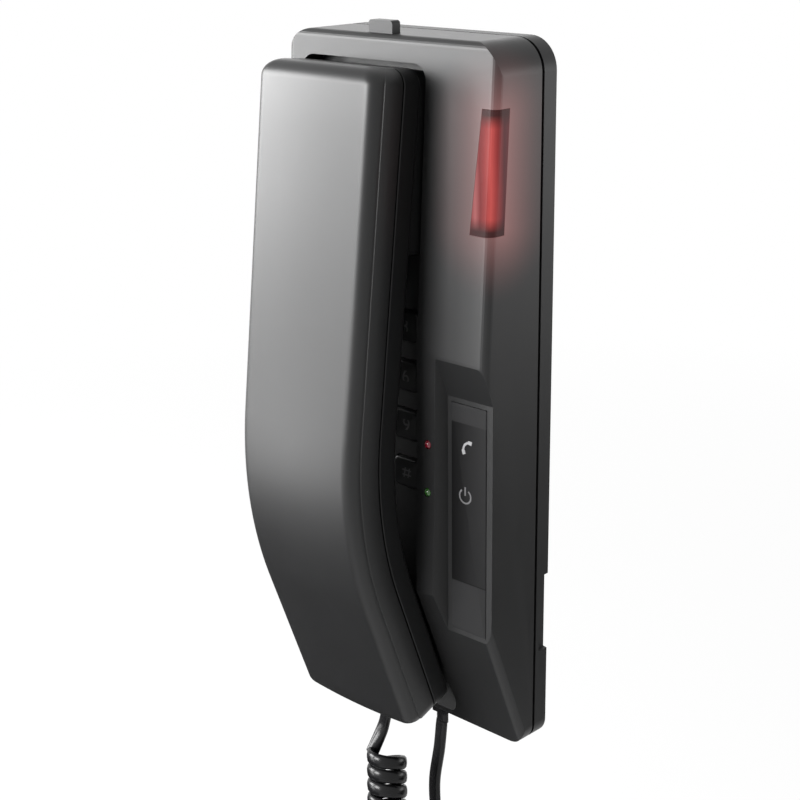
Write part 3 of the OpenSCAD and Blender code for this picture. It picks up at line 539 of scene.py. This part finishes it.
def makeKey(k, s):
    node = "key_" + s["names"][k]
    low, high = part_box(node)
    x, z = (low.x + high.x) / 2 / mm, (low.z + high.z) / 2 / mm
    face = -low.y / mm
    outline = roundedOutline(s["width"], s["height"], s["corner"], 6)
    levels = [(1.0, -s["skirt"]), (1.0, -s["edge"])]
    for n in range(1, 7):
        a = math.radians(15 * n)
        levels.append((1 - s["edge"] * (1 - math.cos(a)) / (s["width"] / 2), s["edge"] * (math.sin(a) - 1)))
    levels += [(shrink * s["dishRim"], -s["dish"] * sink) for shrink, sink in s["dishSteps"]]
    cap = facePlate(node + "_cap", x, z, face, outline, levels, 50)
    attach(cap, node)
    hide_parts(node)
    text = bpy.data.curves.new(node + "_mark", "FONT")
    text.body, text.size = s["marks"][k], s["markSize"] * mm
    text.align_x, text.align_y = "CENTER", "CENTER"
    text.extrude = s["markThick"] * mm / 2
    text.resolution_u = 6
    mark = bpy.data.objects.new("font", text)
    bpy.context.scene.collection.objects.link(mark)
    bpy.context.view_layer.update()
    printed = bpy.data.objects.new(node + "_mark", bpy.data.meshes.new_from_object(mark))
    bpy.context.scene.collection.objects.link(printed)
    bpy.data.objects.remove(mark)
    reach = [sorted(v.co[axis] for v in printed.data.vertices) for axis in (0, 1)]
    mid = Vector([(values[0] + values[-1]) / 2 for values in reach] + [0])
    spot = Matrix.Translation((x * mm, -(face - s["dish"] * s["markSink"]) * mm, z * mm))
    printed.data.transform(spot @ Matrix.Rotation(math.pi / 2, 4, "X") @ Matrix.Translation(-mid))
    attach(printed, node)
    return cap, printed


keyCaps, keyMarks = [], []
for k in range(len(keySettings["names"])):
    cap, printed = makeKey(k, keySettings)
    keyCaps.append(cap)
    keyMarks.append(printed)
print("keys made")

panelSettings = {
    "corner": 0.5,
    "bevel": 0.15,
    "markDepth": 0.04,
    "handsetMark": {"middle": (31.8, -7.7), "radius": 2.4, "line": 0.68, "ends": 1.16, "arc": (72, 140)},
    "powerMark": {"middle": (30.1, -21.7), "radius": 2.1, "line": 0.5, "arc": (125, 290),
                  "tick": (0.2, 1.4, 2.8)},
}


def ribbon(name, points, widths, depth, thick):
    p = [np.array(q, float) for q in points]
    rings = []
    for k, q in enumerate(p):
        t = unit(p[min(k + 1, len(p) - 1)] - p[max(k - 1, 0)])
        n = np.array([-t[1], t[0]]) * widths[k] / 2
        ring = [(q + n, depth), (q + n, depth + thick), (q - n, depth + thick), (q - n, depth)]
        rings.append([(xy[0] * mm, -d * mm, xy[1] * mm) for xy, d in ring])
    return loft(name, rings)


def markArc(mark, steps):
    (x, z), (start, sweep) = mark["middle"], mark["arc"]
    return arcPoints(x, z, mark["radius"], start, start + sweep, steps)


def makePanel(s):
    low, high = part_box("label_panel")
    width, height = (high.x - low.x) / mm, (high.z - low.z) / mm
    x, z = (high.x + low.x) / 2 / mm, (high.z + low.z) / 2 / mm
    face = -low.y / mm
    outline = roundedOutline(width, height, s["corner"], 4)
    levels = [(1.0, low.y / mm - high.y / mm), (1.0, -s["bevel"]), (1 - 2 * s["bevel"] / width, 0)]
    panel = facePlate("label_plate", x, z, face, outline, levels)
    m = s["handsetMark"]
    line = markArc(m, 24)
    widths = [m["ends"] if k < 6 or k > 18 else m["line"] for k in range(len(line))]
    talk = ribbon("label_talk_mark", line, widths, face, s["markDepth"])
    p = s["powerMark"]
    ring = markArc(p, 40)
    power = ribbon("label_power_ring", ring, [p["line"]] * len(ring), face, s["markDepth"])
    px, pz = p["middle"]
    tickLine = [(px, pz + up) for up in p["tick"]]
    tick = ribbon("label_power_tick", tickLine, [p["line"]] * len(tickLine), face, s["markDepth"])
    marks = [talk, power, tick]
    for piece in [panel] + marks:
        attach(piece, "base")
    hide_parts("label_panel")
    return panel, marks


labelPlate, labelMarks = makePanel(panelSettings)
print("label panel made")


class Wire:  # a socket that takes part in sums
    def __init__(self, finish, socket):
        self.finish, self.socket = finish, socket

    def __add__(self, other):
        return self.finish.maths("ADD", self, other)

    __radd__ = __add__

    def __sub__(self, other):
        return self.finish.maths("SUBTRACT", self, other)

    def __rsub__(self, other):
        return self.finish.maths("SUBTRACT", other, self)

    def __mul__(self, other):
        return self.finish.maths("MULTIPLY", self, other)

    __rmul__ = __mul__

    def __truediv__(self, other):
        return self.finish.maths("DIVIDE", self, other)

    def __rtruediv__(self, other):
        return self.finish.maths("DIVIDE", other, self)

    def __pow__(self, other):
        return self.finish.maths("POWER", self, other)

    def __rpow__(self, other):
        return self.finish.maths("POWER", other, self)


class Finish:
    def __init__(self, owner, outputKind):
        owner.use_nodes = True
        self.owner, self.tree = owner, owner.node_tree
        self.tree.nodes.clear()
        self.out = self.tree.nodes.new(outputKind)

    def node(self, kind, settings=None, sockets=None, output=0):
        made = self.tree.nodes.new(kind)
        for key, value in (settings or {}).items():
            if key == "stops":
                while len(made.color_ramp.elements) < len(value):
                    made.color_ramp.elements.new(0.5)
                for element, (position, color) in zip(made.color_ramp.elements, value):
                    element.position, element.color = position, (*color, 1)
            else:
                setattr(made, key, value)
        for key, value in (sockets or {}).items():
            if isinstance(value, Wire):
                self.tree.links.new(value.socket, made.inputs[key])
            elif isinstance(value, tuple) and len(value) == 3 and made.inputs[key].type == "RGBA":
                made.inputs[key].default_value = (*value, 1)
            else:
                made.inputs[key].default_value = value
        return Wire(self, made.outputs[output])

    def maths(self, operation, a, b=0.0):
        return self.node("ShaderNodeMath", {"operation": operation}, {0: a, 1: b})

    def limit(self, value):
        return self.node("ShaderNodeClamp", None, {"Value": value})

    def place(self):
        return self.node("ShaderNodeTexCoord", output="Object")

    def along(self, axis):
        return self.node("ShaderNodeSeparateXYZ", None, {"Vector": self.place()}, output=axis)

    def noise(self, scale, detail=2.0, rough=0.5, stretch=None):
        where = self.place()
        if stretch:
            where = self.node("ShaderNodeVectorMath", {"operation": "MULTIPLY"}, {0: where, 1: stretch})
        sockets = {"Vector": where, "Scale": scale, "Detail": detail, "Roughness": rough}
        return self.node("ShaderNodeTexNoise", None, sockets, output="Fac")

    def mixColors(self, factor, a, b):
        # a Mix node has its colour sockets at 6 and 7 and its colour output at 2
        return self.node("ShaderNodeMix", {"data_type": "RGBA"}, {0: factor, 6: a, 7: b}, output=2)

    def bump(self, height, distance, strength):
        return self.node("ShaderNodeBump", None,
                         {"Height": height, "Distance": distance, "Strength": strength})

    def show(self, shader):
        self.tree.links.new(shader.socket, self.out.inputs["Surface"])
        return self.owner

    def surface(self, **sockets):
        return self.show(self.node("ShaderNodeBsdfPrincipled", None, sockets))


def newFinish(name):
    return Finish(bpy.data.materials.new(name), "ShaderNodeOutputMaterial")


def shade(color, factor):
    return tuple(min(1.0, c * factor) for c in color)


plastics = {
    "housing": {"color": (0.0085, 0.0086, 0.0089), "rough": 0.43, "shine": 0.38, "grain": 0.000014},
    "cover": {"color": (0.0070, 0.0071, 0.0074), "rough": 0.46, "shine": 0.36, "grain": 0.000016},
    "handset": {"color": (0.0080, 0.0081, 0.0084), "rough": 0.41, "shine": 0.40, "grain": 0.000010},
    "handsetBack": {"color": (0.0070, 0.0071, 0.0074), "rough": 0.44, "shine": 0.27, "grain": 0.000012},
    "keys": {"color": (0.009, 0.0091, 0.0094), "rough": 0.40, "shine": 0.28, "grain": 0.000010},
    "tab": {"color": (0.022, 0.022, 0.0228), "rough": 0.42, "shine": 0.3, "grain": 0.000010},
    "moulded": {"color": (0.008, 0.008, 0.0084), "rough": 0.45, "shine": 0.3, "grain": 0.000012},
    "capsule": {"color": (0.09, 0.09, 0.095), "rough": 0.5, "shine": 0.4, "grain": 0.000012},
    "silicone": {"color": (0.12, 0.122, 0.125), "rough": 0.6, "shine": 0.3, "grain": 0.000010},
}

plasticTexture = {
    "grainScale": 5200,
    "cloudScale": 26,
    "scuffScale": 160,
    "scuffFrom": 0.58,
    "shades": (0.9, 1.12),  # darkest and palest patch, as shares of the colour
    "roughness": {"cloud": 0.06, "grain": 0.08, "scuff": 0.03},
}

# Red glow of the message lamp, painted onto the housing as painted light in its emission colour, fading with
# distance from the lens.
paintedLampGlow = {
    "color": (0.26, 0.105, 0.10),
    "strength": 1.0,
    "reach": 22.0,  # mm
    "fade": 1.9,
    "ends": (0.0572, 0.0852),  # heights of the lit stretch, metres
    "corner": (0.0385, -0.0225),
}


def mouldedPlastic(name, s, glow=False):
    f = newFinish(name)
    p, change = plasticTexture, plasticTexture["roughness"]
    grain = f.noise(p["grainScale"], 2.0, 0.6)
    cloud = f.noise(p["cloudScale"], 3.0, 0.55)
    scuff = f.noise(p["scuffScale"], 4.0, 0.7, stretch=(1.0, 1.0, 0.25))
    tone = f.limit(cloud * 1.4 - 0.2)
    base = f.mixColors(tone, *(shade(s["color"], share) for share in p["shades"]))
    rubbed = f.limit((scuff - p["scuffFrom"]) * 6)
    rough = s["rough"] + (cloud - 0.5) * change["cloud"] + (grain - 0.5) * change["grain"]
    rough = rough - rubbed * change["scuff"]
    sockets = {
        "Base Color": base, "Roughness": rough, "Specular IOR Level": s["shine"],
        "Normal": f.bump(grain, s["grain"], 0.6),
    }
    # Painted light: the lamp's red glow is painted into the housing's emission colour and fades out with
    # distance from the lens.
    if glow:
        x, y, z = (f.along(k) for k in range(3))
        low, high = paintedLampGlow["ends"]
        cx, cy = paintedLampGlow["corner"]
        beyond = f.maths("MAXIMUM", f.maths("MAXIMUM", low - z, z - high), 0.0)
        away = f.maths("SQRT", (x - cx) ** 2.0 + (y - cy) ** 2.0 + beyond ** 2.0)
        paintedGlowFalloff = f.limit(1 - away / (paintedLampGlow["reach"] * mm))
        sockets["Emission Color"] = f.mixColors(paintedGlowFalloff ** paintedLampGlow["fade"], (0, 0, 0), paintedLampGlow["color"])
        sockets["Emission Strength"] = paintedLampGlow["strength"]
    return f.surface(**sockets)


def cordJacket(name):
    f = newFinish(name)
    haze = f.noise(900, 3.0, 0.6)
    wear = f.noise(60, 2.0, 0.5)
    return f.surface(**{
        "Base Color": f.mixColors(f.limit(wear * 1.3 - 0.15), (0.004, 0.004, 0.0043), (0.008, 0.008, 0.0085)),
        "Roughness": 0.24 + (haze - 0.5) * 0.12, "Specular IOR Level": 0.22,
        "Normal": f.bump(haze, 0.00003, 0.4)})


lensLook = {
    "litTo": 1.10,  # share of the lit stretch's half height
    "endFade": 4.0,
    "wave": 0.10,
    "glowAndPaintedHighlightBands": [  # round the corner, from the front face's edge to the side's; the lamp's own light, with a painted pale highlight stripe near 0.17 and painted shade at the front face's edge
        (0.0, (0.01, 0.003, 0.004)), (0.05, (0.10, 0.012, 0.014)), (0.17, (0.42, 0.15, 0.15)),
        (0.27, (0.13, 0.014, 0.016)), (0.36, (0.26, 0.03, 0.03)), (0.50, (0.58, 0.095, 0.085)),
        (0.64, (0.30, 0.04, 0.04)), (0.80, (0.045, 0.012, 0.017)), (1.0, (0.10, 0.025, 0.03))],
    "endGlow": (0.02, 0.006, 0.006),
    "streakGlow": (0.10, 0.015, 0.015),
    # The lens's base colour is painted dark at the unlit ends and redder on the lit stretch: painted light
    # and shade.
    "paintedShadeEndColor": (0.012, 0.006, 0.006),
    "color": (0.05, 0.006, 0.006),
    "strength": 0.95,
    "shine": 0.12,
}


def litLens(name, s):
    f = newFinish(name)
    x, y, z = (f.along(k) for k in range(3))
    lowest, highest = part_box("message_lamp_lens")
    start, end = lowest.x + lowest.y, highest.x + highest.y
    turned = (x + y - start) / (end - start)  # 0 to 1 from the front face's edge round the corner
    low, high = paintedLampGlow["ends"]
    middle, half = (low + high) / 2, (high - low) / 2
    toEnd = f.limit((s["litTo"] - f.maths("ABSOLUTE", z - middle) / half) * s["endFade"])
    streaks = f.noise(240, 3.0, 0.6, stretch=(1.0, 1.0, 0.10))
    patches = f.noise(70, 2.0, 0.5)
    wavy = turned + (patches - 0.5) * s["wave"]
    # Emission bands: the lamp's own light, with a painted highlight stripe and painted shade at the edge.
    glowAndPaintedHighlightBands = f.node("ShaderNodeValToRGB", {"stops": s["glowAndPaintedHighlightBands"]}, {"Fac": wavy})
    glow = f.mixColors(toEnd, s["endGlow"], glowAndPaintedHighlightBands)
    return f.surface(**{
        # Painted light: the base colour is lighter on the lit stretch and painted darker towards the ends.
        "Base Color": f.mixColors(toEnd, s["paintedShadeEndColor"], s["color"]),
        "Emission Color": f.mixColors(f.limit(streaks * 0.5), glow, s["streakGlow"]),
        "Emission Strength": s["strength"], "Specular IOR Level": s["shine"],
        "Roughness": 0.30 + streaks * 0.12, "Normal": f.bump(streaks, 0.00012, 0.5)})


statusLights = {
    "red": (0.10, 0.003, 0.009),
    "green": (0.012, 0.055, 0.006),
    "strength": 0.35,
    "coreFrom": 27.5,  # mm out from the wall
    "coreRise": 0.8,
}


def tintedLight(name, color, s):
    f = newFinish(name)
    core = f.limit((f.along(1) / -mm - s["coreFrom"]) * s["coreRise"])
    speck = f.noise(700, 2.0)
    return f.surface(**{
        # Painted light: the base colour, not only the glow, is painted lighter at the dome's front, where the
        # lamp's core lights it.
        "Base Color": f.mixColors(core, shade(color, 0.35), color),
        "Emission Color": f.mixColors(f.limit(core * (0.5 + speck)), shade(color, 0.2), color),
        "Emission Strength": s["strength"], "Roughness": 0.12 + speck * 0.05, "Coat Weight": 0.5})


labelLook = {  # heights in metres
    "foot": -0.0485,  # under it the plate is pale
    "head": -0.0001,  # over it too
    "line": (-0.0486, -0.0482),
    "soft": 0.0002,
    "lineSoft": 0.0001,
    "dark": (0.004, 0.004, 0.0042),
    # Lighter plate colour towards the right: a painted sheen.
    "paintedSheen": (0.014, 0.014, 0.0145),
    "pale": (0.019, 0.019, 0.0195),
    "lineColor": (0.004, 0.004, 0.004),
    "shine": 0.08,
}


def labelFinish(name, s):
    f = newFinish(name)
    x, z = f.along(0), f.along(2)

    def band(value, low, high, soft):
        return f.limit((value - low) / soft) * f.limit((high - value) / soft)

    lowest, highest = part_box("label_panel")
    foot = band(z, lowest.z, s["foot"], s["soft"])
    head = band(z, s["head"], highest.z, s["soft"])
    line = band(z, *s["line"], s["lineSoft"])
    across = f.limit((x - lowest.x) / (highest.x - lowest.x))
    brushed = f.noise(500, 3.0, 0.6, stretch=(1.0, 1.0, 0.08))
    # Painted sheen: the plate goes from dark at the left to lighter at the right, and is pale at the foot and
    # head.
    paleAndPaintedSheen = f.mixColors(f.limit(foot + head), f.mixColors(across, s["dark"], s["paintedSheen"]), s["pale"])
    return f.surface(**{
        "Base Color": f.mixColors(line, paleAndPaintedSheen, s["lineColor"]), "Roughness": 0.46 + brushed * 0.08,
        "Specular IOR Level": s["shine"], "Normal": f.bump(brushed, 0.000012, 0.4)})


def printedInk(name, color):
    f = newFinish(name)
    speck = f.noise(3000, 2.0)
    return f.surface(**{
        "Base Color": f.mixColors(speck, shade(color, 0.85), color), "Roughness": 0.45 + speck * 0.1,
        "Normal": f.bump(speck, 0.000006, 0.3)})


def bareMetal(name, color, rough):
    f = newFinish(name)
    turned = f.noise(1800, 3.0, 0.6, stretch=(1.0, 0.15, 1.0))
    stain = f.noise(120, 2.0)
    return f.surface(**{
        "Base Color": f.mixColors(stain, shade(color, 0.82), color), "Metallic": 1.0,
        "Roughness": rough + turned * 0.12, "Normal": f.bump(turned, 0.00001, 0.5)})


def circuitBoard(name):
    f = newFinish(name)
    where = f.node("ShaderNodeVectorMath", {"operation": "MULTIPLY"}, {0: f.place(), 1: (1.0, 0.0, 1.0)})
    cells = f.node("ShaderNodeTexVoronoi", {"feature": "DISTANCE_TO_EDGE"},
                   {"Vector": where, "Scale": 210.0}, output="Distance")
    track = f.limit((0.06 - cells) * 40)
    return f.surface(**{
        "Base Color": f.mixColors(track, (0.012, 0.085, 0.040), (0.05, 0.19, 0.09)),
        "Roughness": 0.34 + track * 0.1, "Normal": f.bump(track, 0.00002, 0.5)})


def clearResin(name):
    f = newFinish(name)
    speck = f.noise(1500, 2.0)
    return f.surface(**{
        "Base Color": f.mixColors(speck, (0.62, 0.58, 0.52), (0.78, 0.75, 0.70)),
        "Roughness": 0.1 + speck * 0.05, "Coat Weight": 0.6})


finishes = {
    # The housing's finish has the message lamp's glow painted into it.
    "housing": mouldedPlastic("housing plastic", plastics["housing"], glow=True),
    "cover": mouldedPlastic("cover plastic", plastics["cover"]),
    "handset": mouldedPlastic("handset plastic", plastics["handset"]),
    "handsetBack": mouldedPlastic("handset back plastic", plastics["handsetBack"]),
    "keys": mouldedPlastic("key plastic", plastics["keys"]),
    "tab": mouldedPlastic("tab plastic", plastics["tab"]),
    "moulded": mouldedPlastic("black moulding", plastics["moulded"]),
    "capsule": mouldedPlastic("capsule moulding", plastics["capsule"]),
    "silicone": mouldedPlastic("silicone mat", plastics["silicone"]),
    "cord": cordJacket("cord jacket"),
    "lens": litLens("lamp lens", lensLook),
    "red": tintedLight("red light", statusLights["red"], statusLights),
    "green": tintedLight("green light", statusLights["green"], statusLights),
    "label": labelFinish("label plate", labelLook),
    "whiteInk": printedInk("white print", (0.26, 0.26, 0.265)),
    "greyInk": printedInk("grey print", (0.11, 0.11, 0.113)),
    "keyInk": printedInk("key print", (0.045, 0.045, 0.046)),
    "steel": bareMetal("plated steel", (0.58, 0.59, 0.61), 0.28),
    "iron": bareMetal("weight bar", (0.22, 0.22, 0.23), 0.45),
    "board": circuitBoard("circuit board"),
    "resin": clearResin("lamp resin"),
}

nodeFinishes = {
    "front_housing": "housing", "rear_cover": "cover", "release_tab": "tab", "message_lamp_lens": "lens",
    "lamp_board": "board", "main_board": "board", "lamp_leds": "resin", "status_light_red": "red",
    "status_light_green": "green", "label_panel": "label", "board_screws": "steel",
    "keypad_mat": "silicone", "ringer": "moulded", "hook_switch": "moulded", "hook_spring": "steel",
    "hook_plunger": "moulded", "base_socket": "moulded", "handset_front": "handset",
    "handset_rear": "handsetBack", "earpiece": "capsule", "microphone": "steel", "handset_weight": "iron",
    "handset_screws": "steel", "handset_socket": "moulded", "handset_plug": "cord", "base_plug": "cord",
    "handset_lead": "cord", "cord_coil": "cord", "base_lead": "cord",
}


def paint(piece, finish):
    piece.data.materials.clear()
    piece.data.materials.append(finishes[finish])


for name, node in nodes.items():
    for slot in node.material_slots:
        slot.material = finishes[nodeFinishes.get(name, "keys")]
paint(curlyCord, "cord")
for piece, finish in zip(handsetPieces, ("handset", "handsetBack", "handsetBack", "handsetBack")):
    paint(piece, finish)
for cap, printed in zip(keyCaps, keyMarks):
    paint(cap, "keys")
    paint(printed, "keyInk")
paint(labelPlate, "label")
for mark, ink in zip(labelMarks, ("whiteInk", "greyInk", "greyInk")):
    paint(mark, ink)
print("finishes made")

studio = {
    "floorDrop": 0.012,  # under the lowest curl
    "floorSize": 6.0,
    "floorColor": (0.82, 0.82, 0.82),
    "floorWhite": (0.86, 0.14),  # share of plain white near the object, and what distance adds
    "ambient": 0.18,
    "lights": {
        "softbox": {"place": (-1.01, -0.60, 0.26), "aim": (0, 0, 0.02), "size": (0.62, 0.56), "power": 26},
        "front": {"place": (-0.40, -1.18, 0.33), "aim": (0, 0, 0.04), "size": (0.6, 0.5), "power": 29},
        "low": {"place": (-0.38, -0.40, -0.15), "aim": (-0.01, -0.04, -0.03), "size": (0.24, 0.16),
                "power": 0.9},
        "rim": {"place": (-0.75, 0.78, 0.38), "aim": (0, 0, 0.1), "size": (0.6, 0.4), "power": 1.0},
        "side": {"place": (0.95, 1.15, 0.02), "aim": (0, 0, 0.06), "size": (0.8, 0.4), "power": 4},
    },
    "flagLift": 0.004,
    "flags": {  # black cards that only reflections see
        "flag_left": {"middle": (-0.36, -0.2), "size": (0.66, 0.62)},
        "flag_right": {"middle": (0.48, 0.5), "size": (0.64, 0.68)},
    },
}


def aimed(place, aim):
    way = Vector(aim) - Vector(place)
    return Matrix.Translation(place) @ way.to_track_quat("-Z", "Y").to_matrix().to_4x4()


def addLight(name, s):
    data = bpy.data.lights.new(name, "AREA")
    data.shape, data.energy = "RECTANGLE", s["power"]
    data.size, data.size_y = s["size"]
    lamp = bpy.data.objects.new(name, data)
    lamp.matrix_world = aimed(s["place"], s["aim"])
    bpy.context.scene.collection.objects.link(lamp)


def levelCard(name, middle, size, z, material):
    (x, y), w, d = middle, size[0] / 2, size[1] / 2
    card = newPiece(name, [(x - w, y - d, z), (x + w, y - d, z), (x + w, y + d, z), (x - w, y + d, z)],
                    [(0, 1, 2, 3)])
    card.data.materials.append(material)
    return card


def seenRays(f):  # 1 for rays that come from the camera, from gloss or through clear material
    camera, glossy, through = (f.node("ShaderNodeLightPath", output=name) for name in
                               ("Is Camera Ray", "Is Glossy Ray", "Is Transmission Ray"))
    return f.limit(camera + glossy + through)


def floorFinish(s):
    f = newFinish("floor")
    near, further = s["floorWhite"]
    distance = f.node("ShaderNodeVectorMath", {"operation": "LENGTH"}, {0: f.place()}, output="Value")
    white = seenRays(f) * (near + f.limit(distance * 1.4 - 0.5) * further)
    return f.show(f.node("ShaderNodeMixShader", None, {
        0: white, 1: f.node("ShaderNodeBsdfDiffuse", None, {"Color": s["floorColor"]}),
        2: f.node("ShaderNodeEmission", None, {"Color": (1.0, 1.0, 1.0), "Strength": 1.0})}))


def flagCloth():
    f = newFinish("flag cloth")
    weave = f.noise(900, 3.0, 0.6)
    return f.surface(**{"Base Color": f.mixColors(weave, (0.001, 0.001, 0.001), (0.004, 0.004, 0.004)),
                        "Roughness": 0.9 + weave * 0.05, "Specular IOR Level": 0.05})


def addSky(s):
    world = bpy.data.worlds.new("studio")
    bpy.context.scene.world = world
    sky = Finish(world, "ShaderNodeOutputWorld")
    strength = seenRays(sky) * (1 - s["ambient"]) + s["ambient"]
    sky.show(sky.node("ShaderNodeBackground", None, {"Color": (1.0, 1.0, 1.0), "Strength": strength}))


def makeStudio(s):
    for name, light in s["lights"].items():
        addLight(name, light)
    level = cadBox[0][2] - s["floorDrop"]
    levelCard("floor", (0, 0), (s["floorSize"], s["floorSize"]), level, floorFinish(s))
    cloth = flagCloth()
    for name, card in s["flags"].items():
        flag = levelCard(name, card["middle"], card["size"], level + s["flagLift"], cloth)
        flag.visible_camera = flag.visible_diffuse = flag.visible_shadow = False
    addSky(s)
    bpy.context.scene.view_settings.view_transform = "Standard"


makeStudio(studio)
print("studio made")
